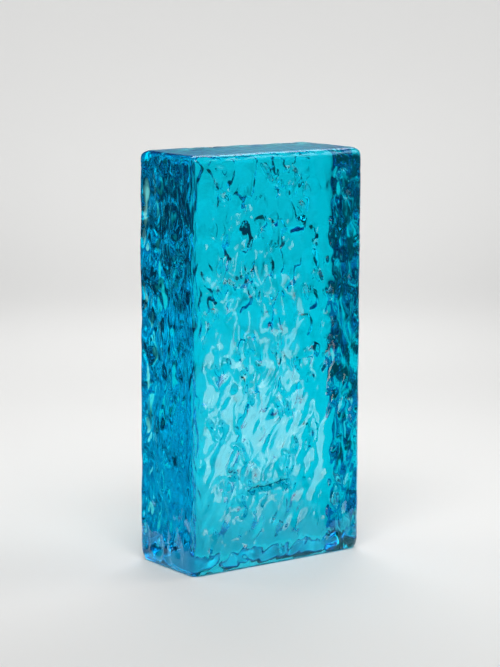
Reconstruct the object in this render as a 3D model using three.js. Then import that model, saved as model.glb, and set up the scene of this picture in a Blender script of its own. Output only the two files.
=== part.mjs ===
// A solid cast-glass brick, stood on one of its small ends.
//
// The brick is one pour of glass and therefore one solid. It has four families of form:
//   - the block itself, with rounded upright edges, a tighter rounding round the top face
//     and a fuller rounding round the foot;
//   - a flat base, where the lowest slice of the foot was ground away;
//   - the cast waves: a long swell and shorter ripples, both drawn out up the brick, which
//     run over the four walls, are calmer on the front, along the edges and on the top, and
//     die out at the ground foot;
//   - dents: hollows that the glass took from the mould, in the back and the two ends.
//
// Millimetres, +Z up. X is the width of the broad face, Y the thickness. The origin is the
// middle of the base, and -Y the front. Wrinkles finer than these are texture, left off here.

import * as THREE from 'three';
import { ImprovedNoise } from 'three/addons/math/ImprovedNoise.js';
import { mergeVertices } from 'three/addons/utils/BufferGeometryUtils.js';

const { lerp, smoothstep } = THREE.MathUtils;

// ---- Block ----
const height = 200;
const width = 102;
const thickness = 48;

// ---- Edges ----
const uprightEdgeRadius = 5;   // the four upright edges, seen from above
const topRounding = 4;         // how far below the top face its rounding starts
const footRounding = 7.5;      // height of the foot's whole rounding, before grinding
const groundOff = 1.5;         // slice of the foot lost to the grinding wheel

// ---- Swell: the long, low unevenness of the walls ----
const swellHeight = 0.25;      // crest above the mean face
const swellAcross = 34;        // from crest to crest, round the brick
const swellUp = 60;            // from crest to crest, up the brick

// ---- Ripples: the hammered look of the walls ----
const rippleHeight = 0.9;
const rippleAcross = 15;
const rippleUp = 30;
const rippleWander = 6;        // sideways drift of a ripple off the upright
const rippleWanderUp = 45;     // height over which it drifts to and fro

// ---- Dents: separate hollows in the back and the ends ----
const dentDepth = 1.4;
const dentAcross = 12;         // from dent to dent, round the brick
const dentUp = 22;             // from dent to dent, up the brick
const dentRim = 0.9;           // noise height at which a dent reaches its full depth
const lowDentShare = 0.3;      // share of their depth left low on the back
const dentFadeUp = 50;         // height over which they fade away downwards
const dentFadeTop = 120;       // full depth above this

// ---- Calm places: the share of the full wave height left there ----
const topWaveShare = 0.25;     // on the top face
const frontWaveShare = 0.55;   // on the front
const edgeWaveShare = 0.3;     // along the upright edges, where the glass set first
const edgeCalm = 6;            // width of the calmer strip beside an upright edge

// ---- Fineness of the surface grid ----
const stepAcross = 2.8;        // grid spacing round the brick: about a quarter of a dent
const stepUp = 4.6;            // grid spacing up the brick
const edgeSteps = 2;           // grid steps on each half of a rounded edge
const footSteps = 3;           // grid steps up the rounding of the foot

// ---- Glass ----
const glassColour = 0x10b6cc;
const glassRoughness = 0.08;

// ---- Sizes that follow ----
const halfEdge = Math.PI / 4;  // each face owns its edges up to the 45 degree line
const flatWidth = width - 2 * uprightEdgeRadius;
const flatThickness = thickness - 2 * uprightEdgeRadius;
const footTop = footRounding - groundOff;
const wallTop = height - topRounding;
const footAngle = Math.asin(footTop / footRounding);

// ---- Cast waves ----

const noise = new ImprovedNoise();
const noiseCrest = 0.6;        // a high crest of the noise, so heights above are real heights
const cellsPerWave = 0.55;     // the noise swings from crest to crest in about two cells

// One wave train: noise drawn out into cells of the given spacing, scaled to a crest of 1.
function waveTrain(point, across, up) {
  const cellAcross = across * cellsPerWave;
  const cellUp = up * cellsPerWave;
  return noise.noise(point.x / cellAcross, point.y / cellAcross, point.z / cellUp) / noiseCrest;
}

// Share of the full dent depth at a point: all of it on the ends and high on the back, less
// low on the back, none on the front.
function dentShare(point) {
  const behind = smoothstep(point.y, 0, flatThickness / 2);
  const high = smoothstep(point.z, dentFadeTop - dentFadeUp, dentFadeTop);
  const endward = smoothstep(Math.abs(point.x), flatWidth / 2, width / 2);
  return Math.max(behind * lerp(lowDentShare, 1, high), endward);
}

// Height of the cast surface above the smooth block at a point of it. The dents are the
// high parts of a noise of their own, cut off below zero and turned inwards.
function waveHeight(point) {
  const drift = rippleWander * Math.sin((2 * Math.PI * point.z) / rippleWanderUp);
  const drifted = new THREE.Vector3(point.x + drift, point.y - drift, point.z);
  const swell = swellHeight * waveTrain(point, swellAcross, swellUp);
  const ripple = rippleHeight * waveTrain(drifted, rippleAcross, rippleUp);
  const hollow = smoothstep(waveTrain(point, dentAcross, dentUp), 0, dentRim);
  return swell + ripple - dentDepth * dentShare(point) * hollow;
}

// Share of the full wave height at a point: all of it on the back and the ends, less on the
// front, along the upright edges and over the top's rounding, none at the ground rim.
function waveShare(point, normal) {
  const footShare = smoothstep(point.z, 0, footTop);
  const topness = Math.max(0, normal.z) ** 2;
  const frontness = smoothstep(-point.y, 0, flatThickness / 2);
  const nearEnd = smoothstep(Math.abs(point.x), flatWidth / 2 - edgeCalm, flatWidth / 2);
  const nearFace = smoothstep(Math.abs(point.y), flatThickness / 2 - edgeCalm, flatThickness / 2);
  const calmTop = lerp(1, topWaveShare, topness);
  const calmFront = lerp(1, frontWaveShare, frontness);
  const calmEdge = lerp(1, edgeWaveShare, nearEnd * nearFace);
  return footShare * calmTop * calmFront * calmEdge;
}

// Moves a point of the smooth block out or in along its normal to the cast surface.
function cast(point, normal) {
  return point.clone().addScaledVector(normal, waveShare(point, normal) * waveHeight(point));
}

// ---- Grid lines ----

// Grid stations across one face. Each has a place on the flat part, and a turn that runs
// from 0 where the rounding starts to 1 (or -1 on the low side) at the 45 degree line.
function faceStations(flatLength) {
  const flatSteps = Math.max(1, Math.round(flatLength / stepAcross));
  const stations = [];
  for (let i = edgeSteps; i > 0; i--) {
    stations.push({ flat: -flatLength / 2, turn: -i / edgeSteps });
  }
  for (let i = 0; i <= flatSteps; i++) {
    stations.push({ flat: flatLength * (i / flatSteps - 0.5), turn: 0 });
  }
  for (let i = 1; i <= edgeSteps; i++) {
    stations.push({ flat: flatLength / 2, turn: i / edgeSteps });
  }
  return stations;
}

// Grid levels up the walls, from the ground rim to the 45 degree line of the top rounding.
// The lean is the angle of the surface above (or below, if negative) the horizontal.
function wallLevels() {
  const levels = [];
  for (let i = footSteps; i > 0; i--) {
    const lean = (-footAngle * i) / footSteps;
    levels.push({ z: footTop + footRounding * Math.sin(lean), lean });
  }
  const wallSteps = Math.max(1, Math.round((wallTop - footTop) / stepUp));
  for (let i = 0; i <= wallSteps; i++) {
    levels.push({ z: lerp(footTop, wallTop, i / wallSteps), lean: 0 });
  }
  for (let i = 1; i <= edgeSteps; i++) {
    const lean = (halfEdge * i) / edgeSteps;
    levels.push({ z: wallTop + topRounding * Math.sin(lean), lean });
  }
  return levels;
}

const widthStations = faceStations(flatWidth);
const thicknessStations = faceStations(flatThickness);
const levels = wallLevels();

// ---- Surface points ----

// A point of a wall that faces along `facing` (radians from +X, seen from above).
// `halfSpan` is how far the middle of the rounding circle is from the brick's axis.
function wallPoint(facing, halfSpan, station, level) {
  const azimuth = facing + station.turn * halfEdge;
  const reach = uprightEdgeRadius * Math.cos(level.lean);
  const outward = new THREE.Vector3(Math.cos(facing), Math.sin(facing), 0);
  const sideways = new THREE.Vector3(-Math.sin(facing), Math.cos(facing), 0);
  const point = new THREE.Vector3(reach * Math.cos(azimuth), reach * Math.sin(azimuth), level.z);
  point.addScaledVector(outward, halfSpan).addScaledVector(sideways, station.flat);
  const normal = new THREE.Vector3(
    Math.cos(azimuth) * Math.cos(level.lean),
    Math.sin(azimuth) * Math.cos(level.lean),
    Math.sin(level.lean),
  );
  return cast(point, normal);
}

// How far out a station pair lies in the rounded rim of an end face (0 to 1), and which way.
function rimPlace(xStation, yStation) {
  const { turn: u } = xStation;
  const { turn: v } = yStation;
  const share = Math.max(Math.abs(u), Math.abs(v));
  if (share === 0) {
    return { share, x: 0, y: 0 };
  }
  if (Math.abs(u) >= Math.abs(v)) {
    const angle = (halfEdge * v) / share;
    return { share, x: Math.sign(u) * Math.cos(angle), y: Math.sin(angle) };
  }
  const angle = (halfEdge * u) / share;
  return { share, x: Math.sin(angle), y: Math.sign(v) * Math.cos(angle) };
}

// A point of the top face, which owns its rounding down to the 45 degree line.
function topPoint(xStation, yStation) {
  const rim = rimPlace(xStation, yStation);
  const tilt = rim.share * halfEdge;
  const reach = uprightEdgeRadius * Math.sin(tilt);
  const point = new THREE.Vector3(
    xStation.flat + reach * rim.x,
    yStation.flat + reach * rim.y,
    wallTop + topRounding * Math.cos(tilt),
  );
  const normal = new THREE.Vector3(rim.x * Math.sin(tilt), rim.y * Math.sin(tilt), Math.cos(tilt));
  return cast(point, normal);
}

// ---- Faces ----

// Lays a grid of points as triangles. Columns run to the right and rows upwards, seen from
// outside the glass. The diagonals alternate, so that no slant shows in the waves.
function addFace(corners, columns, rows, pointAt) {
  const grid = rows.map((row) => columns.map((column) => pointAt(column, row)));
  for (let r = 0; r + 1 < rows.length; r++) {
    for (let c = 0; c + 1 < columns.length; c++) {
      const lowLeft = grid[r][c];
      const lowRight = grid[r][c + 1];
      const highRight = grid[r + 1][c + 1];
      const highLeft = grid[r + 1][c];
      if ((r + c) % 2 === 0) {
        corners.push(lowLeft, lowRight, highRight, lowLeft, highRight, highLeft);
      } else {
        corners.push(lowLeft, lowRight, highLeft, lowRight, highRight, highLeft);
      }
    }
  }
}

// Fills the flat inside a rim, whose points run anticlockwise seen from above. The base is
// one ground plane, so it takes only the triangles that its rim needs, facing down.
function addBase(corners, rim) {
  for (const [a, b, c] of THREE.ShapeUtils.triangulateShape(rim, [])) {
    corners.push(rim[a], rim[c], rim[b]);
  }
}

function buildGlassBrick() {
  const walls = [
    { facing: 0, halfSpan: flatWidth / 2, stations: thicknessStations },
    { facing: Math.PI / 2, halfSpan: flatThickness / 2, stations: widthStations },
    { facing: Math.PI, halfSpan: flatWidth / 2, stations: thicknessStations },
    { facing: (3 * Math.PI) / 2, halfSpan: flatThickness / 2, stations: widthStations },
  ];
  const corners = [];
  const rim = [];
  for (const { facing, halfSpan, stations } of walls) {
    addFace(corners, stations, levels, (station, level) => wallPoint(facing, halfSpan, station, level));
    // A wall ends where the next begins, so its last station is left to that one.
    for (const station of stations.slice(0, -1)) {
      rim.push(wallPoint(facing, halfSpan, station, levels[0]));
    }
  }
  addFace(corners, widthStations, thicknessStations, topPoint);
  addBase(corners, rim);

  const loose = new THREE.BufferGeometry().setFromPoints(corners);
  const geometry = mergeVertices(loose);
  geometry.computeVertexNormals();

  const glass = new THREE.MeshStandardMaterial({
    color: glassColour,
    roughness: glassRoughness,
    metalness: 0,
  });
  const brick = new THREE.Mesh(geometry, glass);
  brick.name = 'glass_brick';
  return brick;
}

const object = new THREE.Group();
object.add(buildGlassBrick());

export default object;
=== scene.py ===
# %% [markdown]
# # A solid cast-glass brick in Blender
#
# The object is one block of cyan glass, 200 mm tall, 102 mm wide and 48 mm thick, that
# stands on its small end. It was poured into a mould, so it has a wrinkled skin, round
# edges and a flat ground foot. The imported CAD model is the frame: it gives the size, the
# rounded form and the broad waves. This notebook makes the finished piece of glass around
# it, then the glass itself, and then a small studio that glass looks good in.

# %% Load the frame
import math

import bmesh
import bpy
from mathutils import Matrix, Vector, noise


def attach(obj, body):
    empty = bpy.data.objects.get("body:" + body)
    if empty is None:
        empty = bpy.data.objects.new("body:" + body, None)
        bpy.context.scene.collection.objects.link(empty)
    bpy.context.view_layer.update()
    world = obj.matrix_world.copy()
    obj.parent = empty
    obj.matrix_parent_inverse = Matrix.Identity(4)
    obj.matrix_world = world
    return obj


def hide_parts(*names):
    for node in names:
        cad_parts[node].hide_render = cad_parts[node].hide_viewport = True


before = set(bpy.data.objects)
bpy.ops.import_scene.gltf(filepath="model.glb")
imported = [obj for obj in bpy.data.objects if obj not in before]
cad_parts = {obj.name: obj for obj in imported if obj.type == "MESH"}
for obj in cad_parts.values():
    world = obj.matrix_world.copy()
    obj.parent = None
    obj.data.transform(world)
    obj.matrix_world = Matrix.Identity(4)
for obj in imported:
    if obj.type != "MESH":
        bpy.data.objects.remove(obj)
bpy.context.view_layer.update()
MM = 0.001

# %% [markdown]
# ## Small helpers
#
# Blender's operators act on whatever is selected and active. Two tiny functions keep that
# tidy: one clears the selection, the other makes one object the only selected one. Both
# are used in object mode. A third applies a modifier to the active object, and the last is
# an even ease from 0 to 1, which is used below wherever one region of the glass passes
# softly into the next.


# %% Selecting, applying and easing
def deselect_all():
    bpy.ops.object.select_all(action="DESELECT")


def make_active(obj):
    deselect_all()
    obj.select_set(True)
    bpy.context.view_layer.objects.active = obj


def apply(modifier):
    bpy.ops.object.modifier_apply(modifier=modifier.name)


def smoothstep(low, high, value):
    """0 below low, 1 above high, and an even ease between them."""
    t = min(1, max(0, (value - low) / (high - low)))
    return t * t * (3 - 2 * t)


print("halfway through an ease:", smoothstep(0, 1, 0.5))

# %% [markdown]
# ## The block
#
# A brick of glass is one closed lump, so it starts as one cube at the real size. Its
# edges are rounded with a bevel. The glass was ground flat underneath, which cuts the
# lower rounding short: the cube starts a little below the floor and a bisect at floor
# level cuts it off and closes it with one flat face.

# %% Rounded block with a ground foot
WIDTH = 102 * MM
THICKNESS = 48 * MM
HEIGHT = 200 * MM
EDGE_RADIUS = 5 * MM
EDGE_STEPS = 8
GROUND_OFF = 1 * MM

deselect_all()
bpy.ops.mesh.primitive_cube_add(
    size=1,
    location=(0, 0, (HEIGHT - GROUND_OFF) / 2),
    scale=(WIDTH, THICKNESS, HEIGHT + GROUND_OFF),
)
brick = bpy.context.object
brick.name = "cast_glass_brick"
bpy.ops.object.transform_apply(location=True, rotation=True, scale=True)
bpy.ops.object.mode_set(mode="EDIT")
bpy.ops.mesh.select_mode(type="EDGE")
bpy.ops.mesh.select_all(action="SELECT")
bpy.ops.mesh.bevel(offset=EDGE_RADIUS, segments=EDGE_STEPS, affect="EDGES")
bpy.ops.mesh.select_all(action="SELECT")
bpy.ops.mesh.bisect(plane_co=(0, 0, 0), plane_no=(0, 0, 1), clear_inner=True, use_fill=True)
bpy.ops.object.mode_set(mode="OBJECT")
print("rounded block:", len(brick.data.polygons), "faces")

# %% [markdown]
# ## Enough faces for a wrinkled skin
#
# Wrinkles three or four millimetres wide need faces under a millimetre. A subdivision
# surface would spend as many on the thin roundings as on the broad sides, so the long
# straight edges are cut instead, each direction with its own step. The wrinkles run up
# and down, so the step may be longer that way. One cut of an edge is limited to a
# hundred parts, so each direction is cut twice: first coarsely, then finely.

# %% Cut the long edges
STEP_ACROSS = 0.72 * MM
STEP_UP = 1.05 * MM
DIRECTIONS = ((0, WIDTH, STEP_ACROSS), (1, THICKNESS, STEP_ACROSS), (2, HEIGHT, STEP_UP))
STRAIGHT = 0.99
STILL_LONG = 1.5


def select_long_edges(axis, shortest):
    """Selects the edges that run straight along one axis and are longer than shortest."""
    bpy.ops.mesh.select_all(action="DESELECT")
    mesh = bmesh.from_edit_mesh(brick.data)
    for edge in mesh.edges:
        run = edge.verts[1].co - edge.verts[0].co
        edge.select = abs(run[axis]) > max(shortest, STRAIGHT * run.length)
    mesh.select_flush_mode()
    bmesh.update_edit_mesh(brick.data)


bpy.ops.object.mode_set(mode="EDIT")
for axis, length, step in DIRECTIONS:
    parts = (length - 2 * EDGE_RADIUS) / step
    coarse = round(math.sqrt(parts))
    fine = round(parts / coarse)
    for cut in (coarse, fine):
        select_long_edges(axis, STILL_LONG * step)
        bpy.ops.mesh.subdivide(number_cuts=cut - 1)
bpy.ops.object.mode_set(mode="OBJECT")
print("skin mesh:", len(brick.data.polygons), "faces")

# %% [markdown]
# ## Where the skin may move
#
# A vertex group says how much each point takes part in a later step, from 0 to 1. The
# ground foot stays flat, the top is calmer than the sides because it was the open top of
# the mould, and the upright corners are calmer too, because the glass chilled there first.
# The front is calmer than the back, the narrow ends have their own hammered look, and the
# streaks lie low down. Painting such groups by hand is possible, but here each is one line
# of arithmetic on the point's own place, in millimetres. A zone is the stretch over which
# one region eases into the next, and a cut is the stretch of a noise that does the same.
# The dimples in the back are shallower low down and at the left, but don't end there.

# %% Vertex groups for the regions
FRONT_CALM = 0.72
END_CALM = 1
CORNER_CALM = 0.85
TOP_CALM = 0.85
LOW_DIMPLES, LEFT_DIMPLES = 0.5, 0.4
ON_FLOOR = 0.01
SIDE_ZONE, END_ZONE = (0, 20), (44, 50)
CORNER_ACROSS, CORNER_DEEP = (40, 50), (14, 23)
FOOT_ZONE, TOP_ZONE, LOW_ZONE = (0, 10), (188, 199), (60, 120)
RIGHT_ZONE = (-30, 10)
PATCH_SIZE, PATCH_CUT = 16, (-0.05, 0.35)
CLUSTER_SIZE, CLUSTER_CUT = 14, (0.1, 0.3)
CLUSTER_SHIFT = Vector((7, 3, 5))


def shares(point):
    """How much each kind of relief shows at a point, as a dictionary of group to share."""
    x, y, z = point
    front, back = smoothstep(*SIDE_ZONE, -y), smoothstep(*SIDE_ZONE, y)
    end = smoothstep(*END_ZONE, abs(x))
    corner = smoothstep(*CORNER_ACROSS, abs(x)) * smoothstep(*CORNER_DEEP, abs(y))
    calm = smoothstep(*FOOT_ZONE, z) * (1 - TOP_CALM * smoothstep(*TOP_ZONE, z))
    calm *= 1 - CORNER_CALM * corner
    above = smoothstep(*LOW_ZONE, z)
    upper = LOW_DIMPLES + (1 - LOW_DIMPLES) * above
    to_right = LEFT_DIMPLES + (1 - LEFT_DIMPLES) * smoothstep(*RIGHT_ZONE, x)
    patch = smoothstep(*PATCH_CUT, noise.noise(point / PATCH_SIZE))
    cluster = smoothstep(*CLUSTER_CUT, noise.noise(point / CLUSTER_SIZE + CLUSTER_SHIFT))
    return {
        "cast_skin": float(z > ON_FLOOR),
        "relief": calm * (1 - FRONT_CALM * front) * (1 - END_CALM * end),
        "dimpled": calm * back * upper * to_right,
        "nicked": calm * front * cluster,
        "ends": calm * end,
        "streaked": calm * (1 - above),
        "creased": calm * patch * (1 - end),
    }


for vert in brick.data.vertices:
    for group_name, share in shares(vert.co / MM).items():
        group = brick.vertex_groups.get(group_name) or brick.vertex_groups.new(name=group_name)
        group.add([vert.index], share, "REPLACE")
print("regions:", [group.name for group in brick.vertex_groups])

# %% [markdown]
# ## A cold lap
#
# Low on the front the glass met itself a little too cold and left a short fold, a flat
# line with a branch going up from its right end. It is drawn as two paths, given by their
# places across and up in millimetres, and a point's share falls with its distance from
# them.

# %% Vertex group for the cold lap
LAP = [Vector(spot) for spot in ((-18.5, 37.5), (-13, 38.6), (-7.5, 38.2), (0, 40), (5, 39.2))]
BRANCH = [Vector(spot) for spot in ((5, 39.2), (3.4, 46), (5.5, 53), (2, 55))]
LAP_REACH = 1.5
BRANCH_SHARE = 0.5
FRONT_FACE = -20


def nearness(spot, path, reach):
    """1 on a path, easing to 0 at reach from it."""
    near = reach
    for start, end in zip(path, path[1:]):
        run = end - start
        along = min(1, max(0, (spot - start).dot(run) / run.length_squared))
        near = min(near, (spot - start - along * run).length)
    return 1 - smoothstep(0, reach, near)


lapped = brick.vertex_groups.new(name="lapped")
for vert in brick.data.vertices:
    x, y, z = vert.co / MM
    spot = Vector((x, z))
    on_branch = BRANCH_SHARE * nearness(spot, BRANCH, LAP_REACH)
    on_lap = max(nearness(spot, LAP, LAP_REACH), on_branch)
    lapped.add([vert.index], on_lap * (y < FRONT_FACE), "REPLACE")
print("lap and branch:", len(LAP) - 1, "and", len(BRANCH) - 1, "stretches")

# %% [markdown]
# ## Take the form from the CAD model
#
# The CAD solid already has the broad waves and the larger dents. A shrinkwrap pulls the
# fine mesh onto it, and a smooth takes out the facets of the coarser CAD mesh.

# %% Wrap and relax
SMOOTHING, SMOOTHING_ROUNDS = 0.5, 12

make_active(brick)
wrap = brick.modifiers.new("wrap", "SHRINKWRAP")
wrap.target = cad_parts["glass_brick"]
wrap.wrap_method = "NEAREST_SURFACEPOINT"
wrap.vertex_group = "cast_skin"
apply(wrap)
relax = brick.modifiers.new("relax", "SMOOTH")
relax.factor = SMOOTHING
relax.iterations = SMOOTHING_ROUNDS
relax.vertex_group = "cast_skin"
apply(relax)
print("wrapped size, mm:", [round(side / MM, 1) for side in brick.dimensions])

# %% [markdown]
# ## Patterns of the mould
#
# Each kind of wrinkle is a texture that will push the skin in or out. Lumps are the soft
# swells that the glass took from the mould. Dents are the same noise with all but its
# peaks cut away by a colour ramp, which leaves separate pits. Folds keep only a narrow
# band of it, which leaves thin winding lines. The hammered pattern is made of round cells
# that meet in ridges.


# %% Textures
def texture(name, kind, ramp=None, **settings):
    """A texture; ramp gives where it turns from black to white, and back if it has three."""
    made = bpy.data.textures.new(name, kind)
    made.noise_scale = 1
    for key, value in settings.items():
        setattr(made, key, value)
    if ramp:
        made.use_color_ramp = True
        band = made.color_ramp
        band.interpolation = "EASE"
        for stop, position, shade in zip(band.elements, ramp, (0, 1)):
            stop.position = position
            stop.color = (shade, shade, shade, 1)
        for position in ramp[2:]:
            band.elements.new(position).color = (0, 0, 0, 1)
    return made


PERLIN = {"noise_basis": "ORIGINAL_PERLIN"}
lumps = texture("lumps", "CLOUDS", noise_depth=0, **PERLIN)
dents = texture("dents", "CLOUDS", ramp=(0.57, 0.74), noise_depth=0, **PERLIN)
folds = texture("folds", "CLOUDS", ramp=(0.43, 0.5, 0.57), noise_depth=1, **PERLIN)
hammer = texture("hammer", "VORONOI", distance_metric="DISTANCE_SQUARED")
print("patterns:", [made.name for made in bpy.data.textures])

# %% [markdown]
# ## Emboss the skin
#
# A Displace modifier moves each point along its normal by the texture, times its share in
# a vertex group. The size and lean of the pattern come from an empty: the texture is laid
# in the empty's own space, so a tall empty makes tall wrinkles. The empty is removed as
# soon as the modifier is applied. Real relief is used here and not a bump, because glass
# bends what is seen through it, and its outline shows the waves too.


# %% Emboss the wrinkles
def emboss(name, pattern, height, across, up, lean, shift, group, mid):
    """Pushes the skin by a pattern; height, across, up and shift are in millimetres."""
    bpy.ops.object.empty_add(location=Vector(shift) * MM, rotation=(0, math.radians(lean), 0))
    mould = bpy.context.object
    mould.scale = Vector((across, across, up)) * MM
    make_active(brick)
    push = brick.modifiers.new(name, "DISPLACE")
    push.texture = pattern
    push.texture_coords = "OBJECT"
    push.texture_coords_object = mould
    push.strength = height * MM
    push.mid_level = mid
    push.vertex_group = group
    bpy.context.view_layer.update()
    apply(push)
    bpy.data.objects.remove(mould)
    print(f"{name}: {abs(height)} mm high, {across} x {up} mm cells")


emboss("small_lumps", lumps, 0.95, 4.3, 8.5, lean=-17, shift=(5, 3, 1), group="relief", mid=0.6)
emboss("dimples", dents, -1.9, 5.5, 9.5, lean=8, shift=(13, 7, 5), group="dimpled", mid=0)
emboss("nicks", dents, -1.2, 3.6, 6.5, lean=-25, shift=(41, 23, 3), group="nicked", mid=0)
emboss("hammered", hammer, 1.9, 7, 19, lean=4, shift=(3, 8, 2), group="ends", mid=0.7)
emboss("streaks", lumps, 1.0, 3.5, 12, lean=30, shift=(3, 9, 5), group="streaked", mid=0.6)
emboss("creases", folds, -0.35, 9, 16, lean=20, shift=(31, 17, 9), group="creased", mid=0)

# %% [markdown]
# ## Press in the cold lap
#
# The lap needs no texture: its vertex group already is the shape, so the same modifier
# without a texture presses it straight in.

# %% The cold lap
LAP_DEPTH = 1.6 * MM

make_active(brick)
lap = brick.modifiers.new("lap", "DISPLACE")
lap.strength = -LAP_DEPTH
lap.mid_level = 0
lap.vertex_group = "lapped"
apply(lap)
print("cold lap:", LAP_DEPTH / MM, "mm deep")

# %% [markdown]
# ## Level the foot
#
# The ground foot was cut flat after casting, so nothing may hang below it. Points that the
# smoothing or the wrinkles pushed a hair under the floor are lifted back onto it.

# %% Ground the foot
for vert in brick.data.vertices:
    vert.co.z = max(0, vert.co.z)
brick.data.update()
print("embossed size, mm:", [round(side / MM, 1) for side in brick.dimensions])

# %% [markdown]
# ## Finish the piece
#
# The skin is shaded smooth, rides on the only body of the frame and stands for the CAD
# solid, which is hidden.

# %% Shade, attach and stand in for the CAD solid
SOFT_BELOW = math.radians(60)

bpy.ops.object.shade_smooth_by_angle(angle=SOFT_BELOW)
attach(brick, "root")
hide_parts("glass_brick")
print("triangles:", sum(len(face.vertices) - 2 for face in brick.data.polygons))

# %% [markdown]
# ## The glass
#
# Clear glass lets light through its surface and the colour comes from its depth: red is
# soaked up within a few millimetres, green within a decimetre, blue hardly at all. That
# is why thin parts look cyan and long paths look deep blue. The surface is a Principled
# BSDF with full transmission, and the depth is a Volume Absorption shader. Its colour and
# density are set straight on the shader: density times one minus the colour is how fast
# each of red, green and blue is lost, per metre. The tint of the reflection takes a little
# red out of the faint mirror image on the skin, as strongly coloured glass shows it.

# %% Glass surface and depth
SOAKED_UP = (160.0, 8.2, 2.9)
GLASS_IOR = 1.5
MIRROR_TINT = (0.5, 0.9, 1.0, 1)

glass = bpy.data.materials.new("cyan_glass")
glass.use_nodes = True
glass.node_tree.nodes.clear()
glass_out = glass.node_tree.nodes.new("ShaderNodeOutputMaterial")
surface = glass.node_tree.nodes.new("ShaderNodeBsdfPrincipled")
surface.inputs["Base Color"].default_value = (1, 1, 1, 1)
surface.inputs["IOR"].default_value = GLASS_IOR
surface.inputs["Transmission Weight"].default_value = 1.0
surface.inputs["Specular Tint"].default_value = MIRROR_TINT
depth = glass.node_tree.nodes.new("ShaderNodeVolumeAbsorption")
densest = max(SOAKED_UP)
depth.inputs["Density"].default_value = densest
depth.inputs["Color"].default_value = [1 - rate / densest for rate in SOAKED_UP] + [1]
glass.node_tree.links.new(surface.outputs["BSDF"], glass_out.inputs["Surface"])
glass.node_tree.links.new(depth.outputs["Volume"], glass_out.inputs["Volume"])
brick.data.materials.append(glass)
passed = [round(math.exp(-rate * THICKNESS), 3) for rate in SOAKED_UP]
print("share of red, green and blue that passes from front to back:", passed)

# %% [markdown]
# ## Small helpers for nodes
#
# A node tree can be drawn by hand, but in a script three small functions keep it short: one
# adds a node with its values, one maps a range of numbers onto another, and one does a sum
# on outputs and plain numbers.


# %% Node helpers
def add_node(tree, kind, values=None, **settings):
    """Adds a node; values go to its inputs and settings to its options."""
    made = tree.nodes.new(kind)
    for name, choice in settings.items():
        setattr(made, name, choice)
    for socket, value in (values or {}).items():
        made.inputs[socket].default_value = value
    return made


def ramp_node(tree, source, start, stop, at_start, at_stop, **settings):
    """A Map Range from start..stop to at_start..at_stop, fed by an output."""
    values = {"From Min": start, "From Max": stop, "To Min": at_start, "To Max": at_stop}
    made = add_node(tree, "ShaderNodeMapRange", values, **settings)
    tree.links.new(source, made.inputs["Value"])
    return made.outputs["Result"]


def math_node(tree, operation, *terms):
    """A Math node; each term is an output or a plain number."""
    made = add_node(tree, "ShaderNodeMath", operation=operation)
    for socket, term in zip(made.inputs, terms):
        if isinstance(term, bpy.types.NodeSocket):
            tree.links.new(term, socket)
        else:
            socket.default_value = term
    return made.outputs["Value"]


print("node helpers:", [helper.__name__ for helper in (add_node, ramp_node, math_node)])

# %% [markdown]
# ## Ground foot and satin top
#
# The skin is not equally glossy all over. The foot was ground and is frosted, which is why
# it shows as a smooth blue band when seen through the front. The top froze in the open air
# and has a satin sheen. The rest is fire-polished. All three follow the height of the
# point, which the object coordinates give, and a fine noise adds faint uneven haze.

# %% Roughness by height
FROSTED, SATIN, HAZE = 0.6, 0.42, 0.02
CHANGE_OVER = 0.5 * MM
TOP_LEVEL = 199.3 * MM
HAZE_NOISE = {"Scale": 90, "Detail": 2}
HAZE_CUT = (0.4, 0.7)

tree = glass.node_tree
where = add_node(tree, "ShaderNodeTexCoord").outputs["Object"]
apart = add_node(tree, "ShaderNodeSeparateXYZ")
tree.links.new(where, apart.inputs["Vector"])
foot = ramp_node(tree, apart.outputs["Z"], 0, CHANGE_OVER, FROSTED, 0)
top = ramp_node(tree, apart.outputs["Z"], TOP_LEVEL, TOP_LEVEL + CHANGE_OVER, 0, SATIN)
cloudy = add_node(tree, "ShaderNodeTexNoise", HAZE_NOISE)
tree.links.new(where, cloudy.inputs["Vector"])
haze = ramp_node(tree, cloudy.outputs["Fac"], *HAZE_CUT, 0, HAZE)
rough = math_node(tree, "ADD", math_node(tree, "ADD", foot, top), haze)
tree.links.new(rough, surface.inputs["Roughness"])
print("roughness of foot, top and haze:", (FROSTED, SATIN, HAZE))

# %% [markdown]
# ## Finest wrinkles
#
# Ripples a few hundredths of a millimetre high are finer than the mesh. They come from a
# noise that is stretched along the height and leans a little, through a Bump node.

# %% Bump
RIPPLE_HEIGHT = 0.025 * MM
RIPPLE_ACROSS = 2.6 * MM
RIPPLE_UP = 6 * MM
RIPPLE_LEAN = math.radians(20)
RIPPLE_NOISE = {"Scale": 1, "Detail": 1, "Roughness": 0.4, "Distortion": 0.6}

stretched = add_node(tree, "ShaderNodeMapping", {
    "Rotation": (0, RIPPLE_LEAN, 0),
    "Scale": (1 / RIPPLE_ACROSS, 1 / RIPPLE_ACROSS, 1 / RIPPLE_UP),
})
tree.links.new(where, stretched.inputs["Vector"])
ripple = add_node(tree, "ShaderNodeTexNoise", RIPPLE_NOISE)
tree.links.new(stretched.outputs["Vector"], ripple.inputs["Vector"])
bump = add_node(tree, "ShaderNodeBump", {"Strength": 1, "Distance": RIPPLE_HEIGHT})
tree.links.new(ripple.outputs["Fac"], bump.inputs["Height"])
tree.links.new(bump.outputs["Normal"], surface.inputs["Normal"])
print("glass nodes:", len(tree.nodes))

# %% [markdown]
# ## The studio
#
# Glass shows its surroundings, so the studio is part of its look. Places in it are easiest
# to give as the camera sees them: to the right of the brick, away from the camera, and up.
# The camera's own angle comes first, because the others follow from it.

# %% Camera angle and places
AZIMUTH = math.radians(-36.01)
ELEVATION = math.radians(9.17)
ROLL = math.radians(0.18)
DISTANCE = 1099.2 * MM
AIM = Vector((-0.74, 0, 109.82)) * MM
LENS = 121.9
SENSOR = 36


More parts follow.
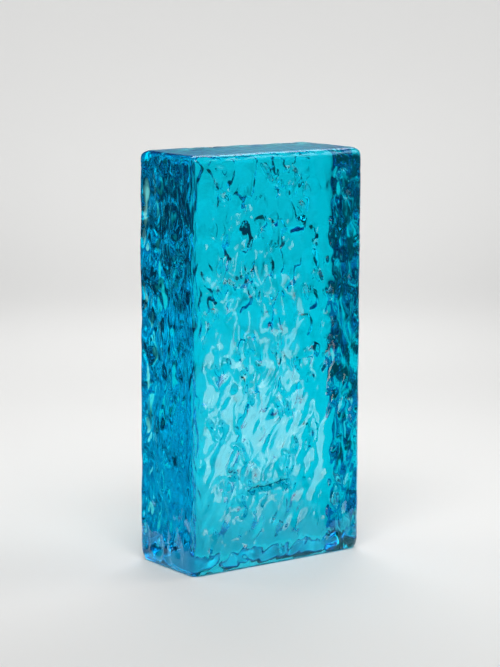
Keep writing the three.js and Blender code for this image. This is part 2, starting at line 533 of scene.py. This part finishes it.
def place(to_right, away, height):
    """A point given to the right of the brick, away from the camera and up."""
    return Vector((
        to_right * math.cos(AZIMUTH) - away * math.sin(AZIMUTH),
        to_right * math.sin(AZIMUTH) + away * math.cos(AZIMUTH),
        height,
    ))


print("a metre to the right of the brick:", [round(v, 2) for v in place(1, 0, 0)])

# %% [markdown]
# ## The floor
#
# The floor is a wide pale dish: flat under the brick and rising softly all round, so that
# no view shows an edge. It is spun from one profile. The profile starts as one point, is
# extruded outwards for the flat part and spun upwards for the rise, and then the whole
# profile is spun once round.

# %% Floor
FLOOR_Z = -0.2 * MM
FLAT = 0.8
RISE_RADIUS = 2.0
RISE_ANGLE = math.radians(42)
RISE_STEPS, TURN_STEPS = 24, 96
MERGED_WITHIN = 0.1 * MM
FLOOR_SOFT_BELOW = math.radians(40)

deselect_all()
bpy.ops.mesh.primitive_plane_add(size=10 * MM, location=(0, 0, FLOOR_Z))
floor = bpy.context.object
floor.name = "studio_floor"
bpy.ops.object.transform_apply(location=True)
bpy.ops.object.mode_set(mode="EDIT")
bpy.ops.mesh.select_mode(type="VERT")
bpy.ops.mesh.select_all(action="SELECT")
bpy.ops.mesh.merge(type="CENTER")
bpy.ops.mesh.extrude_region_move(TRANSFORM_OT_translate={"value": (FLAT, 0, 0)})
rise_centre = (FLAT, 0, FLOOR_Z + RISE_RADIUS)
bpy.ops.mesh.spin(steps=RISE_STEPS, angle=RISE_ANGLE, center=rise_centre, axis=(0, 1, 0))
bpy.ops.mesh.select_all(action="SELECT")
bpy.ops.mesh.spin(steps=TURN_STEPS, angle=math.tau, center=(0, 0, 0), axis=(0, 0, 1))
bpy.ops.mesh.select_all(action="SELECT")
bpy.ops.mesh.remove_doubles(threshold=MERGED_WITHIN)
bpy.ops.mesh.normals_make_consistent(inside=True)
bpy.ops.object.mode_set(mode="OBJECT")
bpy.ops.object.shade_smooth_by_angle(angle=FLOOR_SOFT_BELOW)
print("floor:", [round(side, 2) for side in floor.dimensions], "m")

# %% [markdown]
# ## The paper
#
# The floor is a sheet of matt white paper, laid along the view. Beyond its two long sides
# the colour eases softly to grey, which is painted shade: it stands in for dimly lit floor
# away from the soft boxes. Without that the brick would show white floor through both its
# sides and look milky. The node tree turns the object coordinates to lie along the view,
# takes the distance from the middle line of the sheet, and eases from white to the grey of
# the painted shade. The sheet lies a little to the left, and is a little wider further
# away. A Mix node that mixes colours has them on its sixth and seventh inputs, counted
# from nought.

# %% Paper material
SHEET_FROM, SHEET_TO = 0.3, 0.75
SHEET_SHIFT = 0.11
WIDER_AWAY = 0.15
WHITE = (0.8, 0.8, 0.79, 1)
# the grey is painted shade on the floor beside the sheet, where it stands for dim light
SHADE_GREY = (0.3, 0.3, 0.3, 1)
FIRST_COLOUR, SECOND_COLOUR, MIXED_COLOUR = 6, 7, 2
SOFT_EDGE = {"interpolation_type": "SMOOTHSTEP"}

paper = bpy.data.materials.new("paper")
paper.use_nodes = True
tree = paper.node_tree
sheet = tree.nodes["Principled BSDF"]
where = add_node(tree, "ShaderNodeTexCoord").outputs["Object"]
turned = add_node(tree, "ShaderNodeVectorRotate", {"Angle": -AZIMUTH}, rotation_type="Z_AXIS")
tree.links.new(where, turned.inputs["Vector"])
apart = add_node(tree, "ShaderNodeSeparateXYZ")
tree.links.new(turned.outputs["Vector"], apart.inputs["Vector"])
aside = math_node(tree, "ABSOLUTE", math_node(tree, "ADD", apart.outputs["X"], SHEET_SHIFT))
widening = math_node(tree, "MULTIPLY_ADD", apart.outputs["Y"], -WIDER_AWAY, aside)
# how far a point lies in the painted shade beside the sheet, from 0 on it to 1 beyond it
painted_shade = ramp_node(tree, widening, SHEET_FROM, SHEET_TO, 0, 1, **SOFT_EDGE)
tones = {FIRST_COLOUR: WHITE, SECOND_COLOUR: SHADE_GREY}
tone = add_node(tree, "ShaderNodeMix", tones, data_type="RGBA")
tree.links.new(painted_shade, tone.inputs["Factor"])
tree.links.new(tone.outputs[MIXED_COLOUR], sheet.inputs["Base Color"])
print("the sheet turns grey from", SHEET_FROM, "to", SHEET_TO, "m beside its middle line")

# %% [markdown]
# ## A faint glow at the sides
#
# The soft boxes hardly reach the grey parts, so they would be black from other sides, and
# so would the darkest places in the glass. A faint blue glow lifts both to a dark slate
# tone. A Light Path node gives it to the eye, to mirror images and to what is seen through
# the glass alike, and the largest of the three counts, since a ray can be of two kinds.

# %% Glow at the sides
SIDE_GLOW = 0.065
GLOW_TONE = (0.5, 0.8, 1, 1)

rays = add_node(tree, "ShaderNodeLightPath").outputs
seen = math_node(tree, "MAXIMUM", rays["Is Camera Ray"], rays["Is Glossy Ray"])
seen = math_node(tree, "MAXIMUM", seen, rays["Is Transmission Ray"])
aglow = math_node(tree, "MULTIPLY", math_node(tree, "MULTIPLY", painted_shade, seen), SIDE_GLOW)
tree.links.new(aglow, sheet.inputs["Emission Strength"])
sheet.inputs["Emission Color"].default_value = GLOW_TONE
print("glow at the sides, where 1 is white:", SIDE_GLOW)

# %% [markdown]
# ## The paper's tooth
#
# Matt paper has a fine tooth, so its roughness varies a little and a very fine bump
# breaks up its surface.

# %% Paper roughness and bump
TOOTH_NOISE = {"Scale": 700, "Detail": 3}
TOOTH_CUT = (0.3, 0.7)
PAPER_ROUGHNESS = (0.85, 0.95)
TOOTH_BUMP = {"Strength": 0.3, "Distance": 0.05 * MM}

tooth = add_node(tree, "ShaderNodeTexNoise", TOOTH_NOISE)
tree.links.new(where, tooth.inputs["Vector"])
matt = ramp_node(tree, tooth.outputs["Fac"], *TOOTH_CUT, *PAPER_ROUGHNESS)
tree.links.new(matt, sheet.inputs["Roughness"])
grain = add_node(tree, "ShaderNodeBump", TOOTH_BUMP)
tree.links.new(tooth.outputs["Fac"], grain.inputs["Height"])
tree.links.new(grain.outputs["Normal"], sheet.inputs["Normal"])
floor.data.materials.append(paper)
print("paper nodes:", len(tree.nodes))

# %% [markdown]
# ## Soft light
#
# The room itself is dim, and large soft boxes do the work. One washes the paper behind the
# brick, which is what the eye sees through the glass. One hangs above, a small one lifts
# the shadow behind the brick, one lights the front of the floor, and two fill in from the
# sides. The last stands on the camera's side of the brick and lights the rise of the floor
# at the left there. An area light's power grows with its size for the same brightness, so
# the helper takes the brightness and works out the power. Places and sizes are in metres,
# spreads in degrees.

# %% Room and soft boxes
ROOM = 0.075

world = bpy.data.worlds.new("studio")
bpy.context.scene.world = world
world.use_nodes = True
world.node_tree.nodes["Background"].inputs["Color"].default_value = (ROOM, ROOM, ROOM, 1)


def soft_box(name, at, towards, size, brightness, spread):
    """A soft box; with no towards it hangs level and shines down."""
    data = bpy.data.lights.new(name, "AREA")
    data.shape = "RECTANGLE"
    data.size, data.size_y = size
    data.energy = brightness * math.pi * size[0] * size[1]
    data.spread = math.radians(spread)
    lamp = bpy.data.objects.new(name, data)
    lamp.location = at
    lamp.rotation_euler = (0, 0, AZIMUTH)
    if towards:
        lamp.rotation_euler = (towards - at).to_track_quat("-Z", "Y").to_euler()
    bpy.context.scene.collection.objects.link(lamp)
    lamp.visible_camera = False
    print(f"{name}: {data.energy:.2f} W")
    return lamp


SOFT_BOXES = {
    "background": ((0, 0.95, 0.95), (0, 2, 0.33), (2.0, 0.35), 4.1, 130),
    "ceiling": ((0, 0.7, 0.85), None, (0.6, 0.5), 3.1, 110),
    "behind": ((0, 0.4, 0.5), (0, 0.1, 0), (0.4, 0.15), 0.7, 80),
    "front_top": ((0, -0.5, 0.8), (0, -0.05, 0), (0.6, 0.4), 2.1, 90),
    "side_left": ((-0.75, 0.25, 0.6), (-0.55, 0.17, 0), (0.4, 0.4), 1.3, 90),
    "side_right": ((0.6, 0.1, 0.6), (0.35, 0, 0), (0.4, 0.4), 1.1, 90),
    "wall_left": ((-0.9, -0.55, 0.9), (-1.75, -1.1, 0.35), (1.0, 0.35), 4, 110),
}
for name, (at, towards, size, brightness, spread) in SOFT_BOXES.items():
    soft_box(name, place(*at), towards and place(*towards), size, brightness, spread)

# %% [markdown]
# ## Cards
#
# Small cards near the brick shape what the glass shows. Two stand low at the right, where
# the front's mirror image falls, and make the pale glow and glints on it; they are kept
# out of what is seen through the glass. A wider one is only seen through the glass, where
# it lights up the left end from behind.

# %% Cards
CARD_WARMTH = (1, 0.52, 0.36)
GLOW_AT, GLOW_ON = place(0.164, -0.081, 0.031), Vector((-14, -24, 56)) * MM
GLINTS_AT, GLINTS_ON = place(0.33, -0.148, 0.055), Vector((-28, -24, 105)) * MM
FILL_AT, RIGHT_END = place(0.22, -0.07, 0.05), Vector((50, 0, 60)) * MM

glow = soft_box("glow_card", GLOW_AT, GLOW_ON, size=(0.074, 0.064), brightness=1.55, spread=90)
glints = soft_box("glint_card", GLINTS_AT, GLINTS_ON, size=(0.03, 0.09), brightness=0.6, spread=60)
for card in (glow, glints):
    card.visible_transmission = False
    card.visible_diffuse = False
    card.data.color = CARD_WARMTH
fill = soft_box("fill_card", FILL_AT, RIGHT_END, size=(0.3, 0.1), brightness=0.9, spread=180)
fill.visible_glossy = False
fill.visible_diffuse = False

# %% [markdown]
# ## Dark flags
#
# The left end and the right part of the front face the white floor beside the brick, and
# its mirror image would lie over the deep colour like a grey film. Black cards stand there
# for mirror images alone, so they hold back no other light. Each is a plane that stands on
# the floor, square to the way in which the brick mirrors the view.

# %% Dark flags
MIRRORED_WAY = math.radians(18)
UPRIGHT = math.radians(90)
BLACK = (0.01, 0.01, 0.01, 1)
HIDDEN_FROM = ("camera", "diffuse", "transmission", "shadow")

felt = bpy.data.materials.new("black_felt")
felt.use_nodes = True
nap = felt.node_tree.nodes["Principled BSDF"]
nap.inputs["Base Color"].default_value = BLACK
nap.inputs["Roughness"].default_value = 1


def dark_flag(name, to_right, away, width, height):
    """A black card that only mirror images see."""
    deselect_all()
    bpy.ops.mesh.primitive_plane_add(size=1, location=place(to_right, away, height / 2))
    flag = bpy.context.object
    flag.name = name
    flag.rotation_euler = (UPRIGHT, 0, AZIMUTH + UPRIGHT - MIRRORED_WAY)
    flag.scale = (width, height, 1)
    bpy.ops.object.transform_apply(location=True, rotation=True, scale=True)
    flag.data.materials.append(felt)
    for ray in HIDDEN_FROM:
        setattr(flag, "visible_" + ray, False)
    print(f"{name}: {width} x {height} m")


dark_flag("flag_left", to_right=-0.09, away=0.03, width=0.5, height=0.3)
dark_flag("flag_right", to_right=0.1136, away=0.0156, width=0.096, height=0.2)

# %% [markdown]
# ## The camera
#
# The camera looks slightly down at the brick from the front left, from 1.1 m away with a
# long lens, so that its upright edges stay nearly parallel. Its turn is built from three
# directions at right angles: right, up and backwards.

# %% Camera
backwards = Vector((
    math.sin(AZIMUTH) * math.cos(ELEVATION),
    -math.cos(AZIMUTH) * math.cos(ELEVATION),
    math.sin(ELEVATION),
))
level = Vector((math.cos(AZIMUTH), math.sin(AZIMUTH), 0))
upwards = backwards.cross(level)
rolled_right = level * math.cos(ROLL) + upwards * math.sin(ROLL)
rolled_up = upwards * math.cos(ROLL) - level * math.sin(ROLL)

camera = bpy.data.objects.new("camera", bpy.data.cameras.new("camera"))
bpy.context.scene.collection.objects.link(camera)
bpy.context.scene.camera = camera
camera.location = AIM + backwards * DISTANCE
camera.rotation_euler = Matrix((rolled_right, rolled_up, backwards)).transposed().to_euler()
camera.data.lens = LENS
camera.data.sensor_width = SENSOR
print("camera at, m:", [round(v, 3) for v in camera.location])

# %% [markdown]
# ## Colour and light paths
#
# Colours are shown as they are written. Light is followed through many bounces, because
# inside the brick it is mirrored from wall to wall before it comes out.

# %% Light paths
BOUNCES, MIRROR_BOUNCES = 24, 12

scene = bpy.context.scene
scene.view_settings.view_transform = "Standard"
scene.cycles.max_bounces = BOUNCES
scene.cycles.transmission_bounces = BOUNCES
scene.cycles.glossy_bounces = MIRROR_BOUNCES
print("view:", scene.view_settings.view_transform, "- bounces:", BOUNCES)
